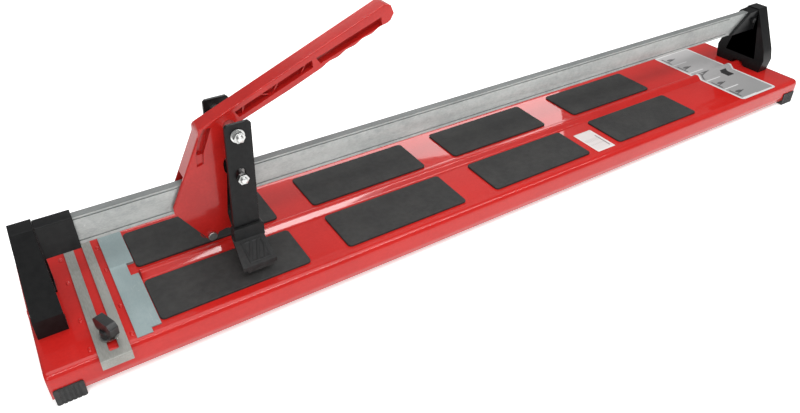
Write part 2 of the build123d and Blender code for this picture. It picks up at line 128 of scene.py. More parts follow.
def makeGrain():
    # fine surface grain: a stretched fine noise plus a slow wavy one
    group, inp, out = newGroup("surfaceGrain",
        [("Position", "NodeSocketVector", None), ("Stretch", "NodeSocketVector", (1, 1, 1)),
         ("Fine", "NodeSocketFloat", 900.0), ("Slow", "NodeSocketFloat", 18.0),
         ("Mix", "NodeSocketFloat", 0.5)],
        [("Grain", "NodeSocketFloat"), ("Height", "NodeSocketFloat")])
    scaled = addNode(group, "ShaderNodeVectorMath", operation="MULTIPLY")
    group.links.new(inp.outputs["Position"], scaled.inputs[0])
    group.links.new(inp.outputs["Stretch"], scaled.inputs[1])
    fine = noiseOf(group, scaled.outputs[0], inp.outputs["Fine"], 2.0)
    slow = noiseOf(group, scaled.outputs[0], inp.outputs["Slow"], 4.0)
    part = mathNode(group, "MULTIPLY", slow, inp.outputs["Mix"])
    rest = mathNode(group, "MULTIPLY", fine, mathNode(group, "SUBTRACT", 1.0, inp.outputs["Mix"]))
    group.links.new(mathNode(group, "ADD", part, rest), out.inputs["Grain"])
    group.links.new(fine, out.inputs["Height"])
    return group


def makeEdgeWear():
    # wear on outside corners: high pointiness, broken up by noise
    group, inp, out = newGroup("edgeWear",
        [("Position", "NodeSocketVector", None), ("Amount", "NodeSocketFloat", 0.5),
         ("Start", "NodeSocketFloat", 0.52), ("Breakup", "NodeSocketFloat", 120.0)],
        [("Wear", "NodeSocketFloat")])
    geometry = addNode(group, "ShaderNodeNewGeometry")
    edge = rampOf(group, geometry.outputs["Pointiness"], inp.outputs["Start"], 0.62)
    broken = rampOf(group, noiseOf(group, inp.outputs["Position"], inp.outputs["Breakup"], 5.0), 0.38, 0.62)
    worn = mathNode(group, "MULTIPLY", edge, broken)
    group.links.new(mathNode(group, "MULTIPLY", worn, inp.outputs["Amount"], True), out.inputs["Wear"])
    return group


def makeDustAndTopShade():
    # thin dust that settles on faces looking up, in soft patches; given a dark colour and a full cover, the
    # same mask paints shade on faces looking up
    group, inp, out = newGroup("dustAndTopShade",
        [("Position", "NodeSocketVector", None), ("Amount", "NodeSocketFloat", 0.2),
         ("Patch", "NodeSocketFloat", 14.0), ("Cover", "NodeSocketFloat", 0.0)],
        [("DustAndShade", "NodeSocketFloat")])
    geometry = addNode(group, "ShaderNodeNewGeometry")
    split = addNode(group, "ShaderNodeSeparateXYZ")
    group.links.new(geometry.outputs["Normal"], split.inputs[0])
    up = rampOf(group, split.outputs["Z"], 0.2, 1.0)
    patch = rampOf(group, noiseOf(group, inp.outputs["Position"], inp.outputs["Patch"], 6.0, 0.65), 0.4, 0.75)
    patch = mathNode(group, "MAXIMUM", patch, inp.outputs["Cover"])
    both = mathNode(group, "MULTIPLY", up, patch)
    group.links.new(mathNode(group, "MULTIPLY", both, inp.outputs["Amount"], True), out.inputs["DustAndShade"])
    return group


def makeScratches():
    # thin handling scratches: stretched voronoi cell edges seen through a noise mask
    group, inp, out = newGroup("fineScratches",
        [("Position", "NodeSocketVector", None), ("Stretch", "NodeSocketVector", (4, 40, 40)),
         ("Amount", "NodeSocketFloat", 0.3)],
        [("Scratch", "NodeSocketFloat")])
    scaled = addNode(group, "ShaderNodeVectorMath", operation="MULTIPLY")
    group.links.new(inp.outputs["Position"], scaled.inputs[0])
    group.links.new(inp.outputs["Stretch"], scaled.inputs[1])
    cells = addNode(group, "ShaderNodeTexVoronoi", feature="DISTANCE_TO_EDGE")
    group.links.new(scaled.outputs[0], cells.inputs["Vector"])
    line = mathNode(group, "LESS_THAN", cells.outputs["Distance"], 0.012)
    mask = rampOf(group, noiseOf(group, inp.outputs["Position"], 30.0), 0.52, 0.62)
    seen = mathNode(group, "MULTIPLY", line, mask)
    group.links.new(mathNode(group, "MULTIPLY", seen, inp.outputs["Amount"], True), out.inputs["Scratch"])
    return group


surfaceGrain = makeGrain()
edgeWear = makeEdgeWear()
dustAndTopShade = makeDustAndTopShade()
fineScratches = makeScratches()
print("shader groups ready")


def placeGroup(tree, group, position, **values):
    node = addNode(tree, "ShaderNodeGroup", node_tree=group)
    tree.links.new(position, node.inputs["Position"])
    for key, value in values.items():
        node.inputs[key].default_value = value
    return node


def makeFinish(name, look):
    # colour = base mixed with a second tone by grain, then scratches, edge wear and a mask on faces looking
    # up (dust on most finishes, painted shade on the rail) laid over it
    material = bpy.data.materials.new(name)
    material.use_nodes = True
    tree = material.node_tree
    shader = tree.nodes["Principled BSDF"]
    place = addNode(tree, "ShaderNodeTexCoord").outputs["Object"]
    grain = placeGroup(tree, surfaceGrain, place, Stretch=look["stretch"], Fine=look["fine"],
                       Slow=look["slow"], Mix=look["slowShare"])
    tone = rampOf(tree, grain.outputs["Grain"], look["toneFrom"], look["toneTo"])
    color = mixColor(tree, tone, look["color"], look["tone"])
    scratch = placeGroup(tree, fineScratches, place, Stretch=look["scratchStretch"], Amount=look["scratch"])
    color = mixColor(tree, scratch.outputs[0], color, look["bare"])
    wear = placeGroup(tree, edgeWear, place, Amount=look["wear"])
    color = mixColor(tree, wear.outputs[0], color, look["bare"])
    dustAndShade = placeGroup(tree, dustAndTopShade, place, Amount=look["dustAndShade"], Patch=look["dustAndShadePatch"],
                      Cover=look["dustAndShadeCover"])
    color = mixColor(tree, dustAndShade.outputs[0], color, look["dustAndShadeColor"])
    tree.links.new(color, shader.inputs["Base Color"])
    rough = mathNode(tree, "MULTIPLY", grain.outputs["Grain"], look["roughSpread"])
    rough = mathNode(tree, "ADD", rough, look["rough"])
    rough = mathNode(tree, "ADD", rough, mathNode(tree, "MULTIPLY", dustAndShade.outputs[0], 0.4), True)
    tree.links.new(rough, shader.inputs["Roughness"])
    shader.inputs["Metallic"].default_value = look["metal"]
    shader.inputs["Coat Weight"].default_value = look["coat"]
    shader.inputs["Coat Roughness"].default_value = look["coatRough"]
    shader.inputs["Specular IOR Level"].default_value = look["specular"]
    bump = addNode(tree, "ShaderNodeBump")
    bump.inputs["Strength"].default_value = look["bump"]
    bump.inputs["Distance"].default_value = look["bumpDepth"]
    tree.links.new(grain.outputs["Height"], bump.inputs["Height"])
    tree.links.new(bump.outputs["Normal"], shader.inputs["Normal"])
    return material


plainLook = {"stretch": (1, 1, 1), "fine": 700.0, "slow": 12.0, "slowShare": 0.6, "toneFrom": 0.4,
             "toneTo": 0.6, "scratch": 0.0, "scratchStretch": (6, 60, 60), "wear": 0.0, "dustAndShade": 0.0,
             "dustAndShadePatch": 14.0, "dustAndShadeCover": 0.0, "bare": (0.5, 0.5, 0.5), "dustAndShadeColor": (0.45, 0.42, 0.38),
             "metal": 0.0, "coat": 0.0, "coatRough": 0.1, "specular": 0.5, "rough": 0.35,
             "roughSpread": 0.1, "bump": 0.1, "bumpDepth": 0.0004}

redPaint = makeFinish("redPaint", {**plainLook,
    "color": (0.49, 0.013, 0.010), "tone": (0.44, 0.010, 0.008),
    "rough": 0.28, "roughSpread": 0.10, "coat": 0.55, "coatRough": 0.03, "fine": 240.0, "bump": 0.03,
    "scratch": 0.10, "wear": 0.1, "bare": (0.60, 0.10, 0.08), "dustAndShade": 0.01, "specular": 0.12})
# the lever's own cast red paint, with its colour and tone set darker than the table's red as painted shade
# for the shade on the lever's lower side
leverPaintWithShade = makeFinish("leverPaintWithShade", {**plainLook,
    "color": (0.44, 0.013, 0.010), "tone": (0.37, 0.010, 0.008),
    "rough": 0.24, "roughSpread": 0.14, "coat": 0.5, "coatRough": 0.08, "fine": 300.0, "slow": 26.0,
    "bump": 0.22,
    "wear": 0.2, "bare": (0.60, 0.12, 0.09), "dustAndShade": 0.01, "specular": 0.15})
blackPaint = makeFinish("blackPaint", {**plainLook,
    "color": (0.0060, 0.0063, 0.0066), "tone": (0.0072, 0.0076, 0.0079),
    "rough": 0.30, "roughSpread": 0.08, "coat": 0.05, "coatRough": 0.15, "fine": 620.0, "bump": 0.08,
    "slowShare": 0.3, "wear": 0.12, "bare": (0.08, 0.08, 0.08), "specular": 0.14})
# the rail's dark colour with a near-full cover on faces looking up is painted shade, darkening the rail's top
# face
railSteel = makeFinish("railSteel", {**plainLook,
    "color": (0.40, 0.42, 0.41), "tone": (0.31, 0.33, 0.325),
    "stretch": (0.35, 1, 1), "slow": 45.0, "metal": 0.55, "rough": 0.36, "roughSpread": 0.2, "scratch": 0.5,
    "scratchStretch": (3, 90, 90), "bare": (0.55, 0.56, 0.55), "wear": 0.3, "bump": 0.12, "dustAndShade": 0.8,
    "dustAndShadeCover": 0.7, "dustAndShadeColor": (0.085, 0.09, 0.09), "dustAndShadePatch": 30.0})
barSteel = makeFinish("barSteel", {**plainLook,
    "color": (0.31, 0.31, 0.29), "tone": (0.24, 0.24, 0.22),
    "stretch": (1, 0.2, 1), "slow": 45.0, "metal": 0.5, "rough": 0.42, "scratch": 0.4, "bump": 0.12,
    "scratchStretch": (80, 4, 80), "bare": (0.5, 0.5, 0.48), "wear": 0.1, "dustAndShade": 0.03})
stopSteel = makeFinish("stopSteel", {**plainLook,
    "color": (0.245, 0.31, 0.315), "tone": (0.225, 0.288, 0.293),
    "stretch": (1, 0.3, 1), "slow": 50.0, "metal": 0.3, "rough": 0.45, "scratch": 0.25, "bump": 0.10,
    "scratchStretch": (70, 5, 70), "bare": (0.5, 0.52, 0.52), "wear": 0.05, "dustAndShade": 0.02})
boltZinc = makeFinish("boltZinc", {**plainLook,
    "color": (0.62, 0.63, 0.62), "tone": (0.45, 0.46, 0.45),
    "slow": 160.0, "metal": 1.0, "rough": 0.2, "roughSpread": 0.2, "bump": 0.1, "wear": 0.4,
    "bare": (0.8, 0.8, 0.78)})
padRubber = makeFinish("padRubber", {**plainLook,
    "color": (0.020, 0.020, 0.0197), "tone": (0.024, 0.024, 0.0235),
    "fine": 1500.0, "slow": 30.0, "rough": 0.6, "roughSpread": 0.2, "bump": 0.5, "wear": 0.3,
    "bare": (0.07, 0.07, 0.07), "dustAndShade": 0.03, "dustAndShadePatch": 22.0, "specular": 0.3})
footRubber = makeFinish("footRubber", {**plainLook,
    "color": (0.009, 0.009, 0.0095), "tone": (0.014, 0.014, 0.014),
    "fine": 1200.0, "rough": 0.5, "roughSpread": 0.2, "bump": 0.4, "wear": 0.4, "bare": (0.05, 0.05, 0.05),
    "dustAndShade": 0.04, "specular": 0.4})
shoePlastic = makeFinish("shoePlastic", {**plainLook,
    "color": (0.0095, 0.0098, 0.010), "tone": (0.013, 0.0134, 0.0138),
    "fine": 420.0, "slow": 80.0, "rough": 0.40, "roughSpread": 0.25, "bump": 0.6, "bumpDepth": 0.0006,
    "wear": 0.3, "bare": (0.07, 0.07, 0.07), "dustAndShade": 0.01, "specular": 0.25})
knobPlastic = makeFinish("knobPlastic", {**plainLook,
    "color": (0.008, 0.008, 0.0085), "tone": (0.013, 0.013, 0.0135),
    "fine": 900.0, "rough": 0.34, "roughSpread": 0.15, "bump": 0.3, "wear": 0.4, "bare": (0.06, 0.06, 0.06)})
springSteel = makeFinish("springSteel", {**plainLook,
    "color": (0.10, 0.10, 0.105), "tone": (0.06, 0.06, 0.063),
    "metal": 0.9, "rough": 0.3, "fine": 900.0, "bump": 0.1})
wheelCarbide = makeFinish("wheelCarbide", {**plainLook,
    "color": (0.55, 0.55, 0.56), "tone": (0.42, 0.42, 0.43),
    "metal": 1.0, "rough": 0.15, "roughSpread": 0.15, "slow": 200.0, "bump": 0.05})
finishes = {"red_paint": redPaint, "black_steel": blackPaint, "rail_steel": railSteel, "zinc": boltZinc,
            "bar_steel": barSteel, "stop_steel": stopSteel, "pad_rubber": padRubber,
            "foot_rubber": footRubber, "shoe_plastic": shoePlastic, "knob_plastic": knobPlastic,
            "carbide": wheelCarbide}
print("finishes ready")


softEdges = {  # node: bevel width in metres, segments
    "rail": (0.0005, 2), "front_bracket": (0.0012, 3), "rear_frame": (0.0016, 3),
    "rail_front_holder": (0.0008, 2), "arm_near": (0.0008, 2), "arm_far": (0.0008, 2), "lever": (0.0012, 3),
    "shoe_near": (0.0010, 2), "shoe_far": (0.0010, 2), "guide_bar": (0.0004, 2), "stop_plate": (0.0005, 2),
    "wing_knob": (0.0005, 2), "main_axle": (0.0006, 2), "pivot_bolt": (0.0006, 2), "frame_bolts": (0.0006, 2),
    "rail_clamp_bolt": (0.0005, 2), "holder_screw": (0.0004, 2), "bracket_screws": (0.0006, 2),
    "saddle": (0.0004, 2), "wheel_axle": (0.0006, 2)}


soften = {"merge": 0.00001, "flat": math.radians(1.0), "corner": math.radians(38)}


def softenNode(name):
    # a merged copy of the node whose corners are rounded off by the given width
    width, segments = softEdges[name]
    source = nodes[name]
    mesh = source.data.copy()
    mesh.name = name + "_soft"
    work = bmesh.new()
    work.from_mesh(mesh)
    bmesh.ops.remove_doubles(work, verts=work.verts, dist=soften["merge"])
    bmesh.ops.dissolve_limit(work, angle_limit=soften["flat"], verts=work.verts, edges=work.edges)
    bmesh.ops.recalc_face_normals(work, faces=work.faces)
    work.to_mesh(mesh)
    work.free()
    mesh.materials.clear()
    mesh.materials.append(leverPaintWithShade if name == "lever" else finishes[slotOf[name]])
    piece = bpy.data.objects.new(name + "_soft", mesh)
    scene.collection.objects.link(piece)
    mesh.shade_smooth()
    mesh.set_sharp_from_angle(angle=soften["corner"])
    bevel = piece.modifiers.new("cornerRound", "BEVEL")
    bevel.width = width
    bevel.segments = segments
    bevel.limit_method = "ANGLE"
    bevel.angle_limit = soften["corner"]
    bevel.use_clamp_overlap = True
    bevel.harden_normals = True
    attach(piece, bodyOf[name])
    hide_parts(name)


for nodeName in softEdges:
    softenNode(nodeName)
for nodeName, item in nodes.items():
    if nodeName not in softEdges and slotOf[nodeName] != "red_paint":
        item.data.materials.clear()
        item.data.materials.append(finishes[slotOf[nodeName]])
print("softened", len(softEdges), "hard parts")


def surfaceFromGrid(name, points, material, closeV=False, uv=None):
    # a grid of points (rows, columns, 3) becomes quads; closeV joins the last column to the first
    rows, columns = points.shape[:2]
    i = np.arange(rows - 1)
    j = np.arange(columns if closeV else columns - 1)
    a, b = np.meshgrid(i, j, indexing="ij")
    a, b = a.ravel(), b.ravel()
    nextA, nextB = a + 1, (b + 1) % columns
    faces = np.stack([a * columns + b, nextA * columns + b,
                      nextA * columns + nextB, a * columns + nextB], axis=1)
    mesh = bpy.data.meshes.new(name)
    mesh.from_pydata(points.reshape(-1, 3), [], faces.tolist())
    if uv is not None:
        layer = mesh.uv_layers.new(name="UVMap")
        corner = np.empty(len(mesh.loops), dtype=np.int64)
        mesh.loops.foreach_get("vertex_index", corner)
        layer.data.foreach_set("uv", uv.reshape(-1, 2)[corner].ravel())
    mesh.materials.append(material)
    mesh.validate()
    piece = bpy.data.objects.new(name, mesh)
    scene.collection.objects.link(piece)
    mesh.shade_smooth()
    return piece


def outwards(piece):
    # a closed piece: doubled points at its ends are merged, and every face is turned outwards
    work = bmesh.new()
    work.from_mesh(piece.data)
    bmesh.ops.remove_doubles(work, verts=work.verts, dist=0.000005)
    bmesh.ops.recalc_face_normals(work, faces=work.faces)
    work.to_mesh(piece.data)
    work.free()


def faceTowards(piece, direction):
    # an open piece: all its faces are reversed if they look away from the direction on the whole
    work = bmesh.new()
    work.from_mesh(piece.data)
    if sum(face.normal.dot(direction) * face.calc_area() for face in work.faces) < 0:
        bmesh.ops.reverse_faces(work, faces=work.faces)
    work.to_mesh(piece.data)
    work.free()


def thicken(piece, thickness, offset=-1.0):
    # the sheet's thickness, inwards for -1 and outwards for 1
    solid = piece.modifiers.new("sheetThickness", "SOLIDIFY")
    solid.thickness = thickness
    solid.offset = offset


spring = {"turns": 7.5, "wire": 0.0008, "pointsPerTurn": 28, "aroundWire": 10,
          "inset": 0.0007, "headroom": 0.0017}  # room for the lever's pocket, which tilts over the coil


def returnSpring():
    # a round wire carried along a helix inside the plain tube's box; its end turns lie close together
    low, high = (np.array(v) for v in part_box("return_spring"))
    centre = (low + high) / 2
    radius = (high[0] - low[0]) / 2 - spring["wire"] - spring["inset"]
    high[2] -= spring["headroom"]
    t = np.linspace(0, 1, int(spring["turns"] * spring["pointsPerTurn"]))
    turn = 2 * np.pi * spring["turns"] * t
    rise = (np.clip((t - 0.10) / 0.80, 0, 1) * 0.86 + np.clip(t / 0.10, 0, 1) * 0.07
            + np.clip((t - 0.9) / 0.1, 0, 1) * 0.07)
    height = low[2] + spring["wire"] + (high[2] - low[2] - 2 * spring["wire"]) * rise
    path = np.stack([centre[0] + radius * np.cos(turn), centre[1] + radius * np.sin(turn), height], axis=1)
    out = np.stack([np.cos(turn), np.sin(turn), np.zeros_like(turn)], axis=1)
    up = np.array([0, 0, 1.0])
    ring = np.linspace(0, 2 * np.pi, spring["aroundWire"], endpoint=False)
    thick = np.where((t == 0) | (t == 1), 0.0, spring["wire"])[:, None, None]
    grid = path[:, None, :] + thick * (np.cos(ring)[None, :, None] * out[:, None, :]
                                       + np.sin(ring)[None, :, None] * up)
    piece = surfaceFromGrid("return_coil", grid, springSteel, closeV=True)
    outwards(piece)
    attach(piece, "carriage")
    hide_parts("return_spring")
    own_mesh(piece)


returnSpring()
print("spring wound")

table = {"ridgeFoot": 0.011, "ridgeCrest": 0.003, "ridgeHeight": 0.007, "ridgeStart": -0.5695, "bend": 0.009,
         "fade": 0.002, "sheet": 0.002, "inside": 0.0002, "flange": 0.011, "crease": 0.0012,
         "acrossFlat": 26, "acrossBend": 12, "acrossRidge": 40}
topParts = ("deck_front", "deck_near", "deck_far", "ridge_strip")
topBoxes = np.array([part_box(name) for name in topParts])
topLow, topHigh = topBoxes[:, 0].min(axis=0), topBoxes[:, 1].max(axis=0)
table["half"] = float(topHigh[1])
table["top"] = float(topHigh[2]) - table["ridgeHeight"]


def easeStep(t):
    return t * t * (3 - 2 * t)


def tableHeight(y, x=1.0):
    # flat table with the breaking ridge along its middle: straight flanks whose foot and crest are eased over
    # a short crease, and a ridge that fades in at its front end
    slope = (table["ridgeFoot"] - np.abs(y)) / (table["ridgeFoot"] - table["ridgeCrest"])
    soft = table["crease"] / (table["ridgeFoot"] - table["ridgeCrest"])
    lifted = np.where(slope < soft, np.maximum(slope + soft, 0) ** 2 / (4 * soft), slope)
    lifted = np.where(slope > 1 - soft, 1 - np.maximum(1 + soft - slope, 0) ** 2 / (4 * soft), lifted)
    lifted = np.where(slope > 1 + soft, 1.0, np.where(slope < -soft, 0.0, lifted))
    fadeIn = easeStep(np.clip((x - table["ridgeStart"]) / table["fade"], 0, 1))
    return table["top"] + table["ridgeHeight"] * lifted * fadeIn


def foldedTable():
    # half section: straight flange, quarter circle of the bend, flat top, ridge; mirrored across the middle
    # and carried along x. The sheet's thickness goes inwards.
    half, bend, top = table["half"], table["bend"], table["top"]
    turn = np.linspace(0, np.pi / 2, table["acrossBend"])
    flangeZ = np.linspace(table["flange"], top - bend, 4)[:-1]
    flatY = np.linspace(half - bend, table["ridgeFoot"] + table["crease"], table["acrossFlat"])[1:]
    ridgeY = np.linspace(table["ridgeFoot"] + table["crease"], 0, table["acrossRidge"])[1:]
    y = np.concatenate([np.full(3, half), half - bend + bend * np.cos(turn), flatY, ridgeY])
    z = np.concatenate([flangeZ, top - bend + bend * np.sin(turn), np.full(len(flatY) + len(ridgeY), top)])
    y, z = np.concatenate([y, -y[-2::-1]]), np.concatenate([z, z[-2::-1]])
    start, end = float(topLow[0]), float(topHigh[0])
    x = np.concatenate([[start, start + 0.004], np.linspace(start + 0.02, table["ridgeStart"] - 0.001, 8),
                        table["ridgeStart"] + np.linspace(0, table["fade"], 6),
                        np.linspace(table["ridgeStart"] + 0.01, end - 0.02, 60), [end - 0.004, end]])
    gx, gy = np.meshgrid(x, y, indexing="ij")
    gz = np.where(np.abs(gy) <= table["ridgeFoot"] + table["crease"] + 1e-6, tableHeight(gy, gx), z[None, :])
    piece = surfaceFromGrid("folded_table", np.stack([gx, gy, gz], axis=2), redPaint)
    faceTowards(piece, Vector((0, 0, 1)))
    piece.data.set_sharp_from_angle(angle=math.radians(50))
    thicken(piece, table["sheet"] - table["inside"])
    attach(piece, "table")
    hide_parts(*topParts, "side_flange_near", "side_flange_far")


def endFlange(name, node):
    # flat end of the folded table: its lower edge is straight and its upper edge follows the section
    low, high = (np.array(v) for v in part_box(node))
    y = np.linspace(-(table["half"] - 0.0022), table["half"] - 0.0022, 160)
    inset = np.clip(np.abs(y) - (table["half"] - table["bend"]), 0, table["bend"] - 0.0022)
    crown = np.sqrt(np.maximum((table["bend"] - 0.0020) ** 2 - inset ** 2, 0))
    upper = np.minimum(tableHeight(y) - table["sheet"], table["top"] - table["bend"] + crown)
    upper = np.where(np.abs(y) < table["half"] - table["bend"], tableHeight(y) - table["sheet"], upper)
    share = np.linspace(0, 1, 6)
    gz = low[2] + share[:, None] * (upper[None, :] - low[2])
    gy = np.repeat(y[None, :], 6, axis=0)
    side = high[0] if high[0] > 0 else low[0]
    grid = np.stack([np.full_like(gy, side), gy, gz], axis=2)
    piece = surfaceFromGrid(name, grid if side > 0 else grid[:, ::-1], redPaint)
    thicken(piece, table["sheet"] - table["inside"])
    faceTowards(piece, Vector((side, 0, 0)))
    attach(piece, "table")
    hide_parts(node)


nibs = {"length": 0.0095, "width": 0.0046, "height": 0.0013, "beside": 0.0235,
        "rows": (0.086, 0.034, -0.043, -0.097)}


def pressedNib(name, x, y):
    # an oblong bump: a half super-ellipse dome whose height falls to nothing at its rim
    a = np.linspace(0, 2 * np.pi, 40, endpoint=False)
    r = np.linspace(0, 1, 9)
    rx, ry = nibs["width"] / 2, nibs["length"] / 2
    flatX = np.sign(np.cos(a)) * np.abs(np.cos(a)) ** 0.8
    flatY = np.sign(np.sin(a)) * np.abs(np.sin(a)) ** 0.6
    px = x + rx * r[:, None] * flatX[None, :]
    py = y + ry * r[:, None] * flatY[None, :]
    pz = table["top"] - 0.0001 + nibs["height"] * np.repeat((1 - r ** 3)[:, None] ** 0.8, len(a), axis=1)
    base = np.repeat(np.array([[[x, y, table["top"] - 0.0006]]]), len(a), axis=1)
    dome = np.stack([px, py, pz], axis=2)
    piece = surfaceFromGrid(name, np.concatenate([dome, base], axis=0), redPaint, closeV=True)
    outwards(piece)
    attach(piece, "table")


foldedTable()
endFlange("end_sheet_front", "end_flange_front")
endFlange("end_sheet_rear", "end_flange_rear")
barLow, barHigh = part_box("guide_bar")
barMiddle = (barLow[0] + barHigh[0]) / 2
for sideSign, sideName in ((-1, "left"), (1, "right")):
    for number, nibY in enumerate(nibs["rows"]):
        pressedNib(f"nib_{sideName}_{number + 1}", barMiddle + sideSign * nibs["beside"], nibY)
print("table folded")


def sticker(name, x, y, corner, material, rows, columns, lift=0.00022, thick=0.00012):
    # a sheet with rounded corners that lies on the table and follows the ridge:
    # x runs evenly, y runs to a width that shrinks along a quarter circle at both ends
    u = np.linspace(-1, 1, rows)
    halfX, halfY = (x[1] - x[0]) / 2, (y[1] - y[0]) / 2
    along = halfX * np.sin(u * np.pi / 2)
    over = np.clip(np.abs(along) - (halfX - corner), 0, corner)
    reach = halfY - corner + np.sqrt(np.maximum(corner ** 2 - over ** 2, 0))
    v = np.linspace(-1, 1, columns)
    px = np.repeat((along + (x[0] + x[1]) / 2)[:, None], columns, axis=1)
    py = reach[:, None] * v[None, :] + (y[0] + y[1]) / 2
    pz = tableHeight(py, px) + lift
    uv = np.stack([(py - y[0]) / (y[1] - y[0]), (px - x[0]) / (x[1] - x[0])], axis=2)
    piece = surfaceFromGrid(name, np.stack([px, py, pz], axis=2), material, uv=uv)
    thicken(piece, thick, 1.0)
    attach(piece, "table")


def bandMask(tree, value, low, high):
    above = mathNode(tree, "GREATER_THAN", value, low)
    below = mathNode(tree, "LESS_THAN", value, high)
    return mathNode(tree, "MULTIPLY", above, below)


def labelMaterial(name, look):
    # white film: a border, a grey field that lightens to one side, and a row of cells with a leaning bar,
    # a foot line and a disc in each
    material = bpy.data.materials.new(name)
    material.use_nodes = True
    tree = material.node_tree
    shader = tree.nodes["Principled BSDF"]
    coords = addNode(tree, "ShaderNodeTexCoord")
    split = addNode(tree, "ShaderNodeSeparateXYZ")
    tree.links.new(coords.outputs["UV"], split.inputs[0])
    u, v = split.outputs["X"], split.outputs["Y"]
    field = mathNode(tree, "MULTIPLY", bandMask(tree, u, look["edge"], 1 - look["edge"]),
                     bandMask(tree, v, look["edge"] * 2, 1 - look["edge"] * 2))
    tint = mixColor(tree, rampOf(tree, u, 0.0, 1.0), look["fieldDark"], look["fieldLight"])
    color = mixColor(tree, field, look["paper"], tint)
    fromEdge = mathNode(tree, "SUBTRACT", u, look["edge"])
    cellPlace = mathNode(tree, "MULTIPLY", fromEdge, look["cells"] / (1 - 2 * look["edge"]))
    cell = mathNode(tree, "FRACT", cellPlace)
    row = mathNode(tree, "FRACT", mathNode(tree, "MULTIPLY", v, look["rows"]))
    inRow = bandMask(tree, v, look["from"], look["to"])
    frameLine = mathNode(tree, "SUBTRACT", 1.0, bandMask(tree, cell, 0.035, 0.965))
    frameLine = mathNode(tree, "MULTIPLY", mathNode(tree, "MULTIPLY", frameLine, inRow), field)
    color = mixColor(tree, frameLine, color, look["paper"])
    lean = mathNode(tree, "ADD", cell, mathNode(tree, "MULTIPLY", row, look["leanBy"]))
    bar = mathNode(tree, "MULTIPLY", bandMask(tree, lean, 0.30, 0.36), bandMask(tree, row, 0.22, 0.78))
    foot = mathNode(tree, "MULTIPLY", bandMask(tree, cell, 0.16, 0.80), bandMask(tree, row, 0.16, 0.24))
    shown = mathNode(tree, "MULTIPLY", inRow, field)
    mark = mathNode(tree, "MULTIPLY", mathNode(tree, "MAXIMUM", bar, foot), shown)
    color = mixColor(tree, mathNode(tree, "MULTIPLY", mark, look["markShare"]), color, look["mark"])
    dx = mathNode(tree, "SUBTRACT", cell, 0.55)
    dy = mathNode(tree, "MULTIPLY", mathNode(tree, "SUBTRACT", row, 0.48), look["discSquash"])
    spread = mathNode(tree, "ADD", mathNode(tree, "MULTIPLY", dx, dx), mathNode(tree, "MULTIPLY", dy, dy))
    disc = mathNode(tree, "MULTIPLY", mathNode(tree, "LESS_THAN", spread, look["disc"]), shown)
    color = mixColor(tree, mathNode(tree, "MULTIPLY", disc, look["markShare"]), color, look["mark"])
    strip = bandMask(tree, v, look["stripFrom"], look["stripTo"])
    strip = mathNode(tree, "MULTIPLY", strip, bandMask(tree, u, look["stripLeft"], look["stripRight"]))
    color = mixColor(tree, strip, color, look["strip"])
    grain = placeGroup(tree, surfaceGrain, coords.outputs["Object"], Fine=900.0, Slow=40.0)
    smudge = mathNode(tree, "MULTIPLY", grain.outputs["Grain"], 0.12)
    color = mixColor(tree, smudge, color, (0.30, 0.29, 0.29))
    tree.links.new(color, shader.inputs["Base Color"])
    rough = mathNode(tree, "ADD", mathNode(tree, "MULTIPLY", grain.outputs["Grain"], 0.2), 0.25)
    tree.links.new(rough, shader.inputs["Roughness"])
    return material


bigLabel = {"x": (0.535, 0.640), "y": (-0.109, 0.109), "corner": 0.007}
bigFilm = labelMaterial("guideLabelFilm", {
    "cells": 5.0, "rows": 2.1, "from": 0.06, "to": 0.46, "edge": 0.022,
    "paper": (0.60, 0.60, 0.60), "fieldDark": (0.24, 0.24, 0.24),
    "fieldLight": (0.44, 0.43, 0.43), "leanBy": -0.28,
    "mark": (0.03, 0.03, 0.032), "markShare": 0.75, "disc": 0.008, "discSquash": 0.5,
    "strip": (0.012, 0.012, 0.013),
    "stripFrom": 0.62, "stripTo": 0.80, "stripLeft": 0.37, "stripRight": 0.47})
sticker("guide_label", bigLabel["x"], bigLabel["y"], bigLabel["corner"], bigFilm, 40, 160)
smallLabel = {"x": (0.161, 0.201), "y": (-0.098, -0.037), "corner": 0.0015}
smallFilm = labelMaterial("ratingLabelFilm", {
    "cells": 1.0, "rows": 11.0, "from": 0.10, "to": 0.90, "edge": 0.03,
    "paper": (0.66, 0.62, 0.60), "fieldDark": (0.60, 0.55, 0.54),
    "fieldLight": (0.62, 0.57, 0.56), "leanBy": 0.0,
    "mark": (0.30, 0.26, 0.26), "markShare": 0.35, "disc": 0.008, "discSquash": 0.3,
    "strip": (0.20, 0.17, 0.17),
    "stripFrom": 0.82, "stripTo": 0.88, "stripLeft": 0.12, "stripRight": 0.70})
sticker("rating_label", smallLabel["x"], smallLabel["y"], smallLabel["corner"], smallFilm, 24, 24)
print("labels laid")

thread = {"radius": 0.0044, "depth": 0.00036, "pitch": 0.00125, "around": 40, "perPitch": 8}


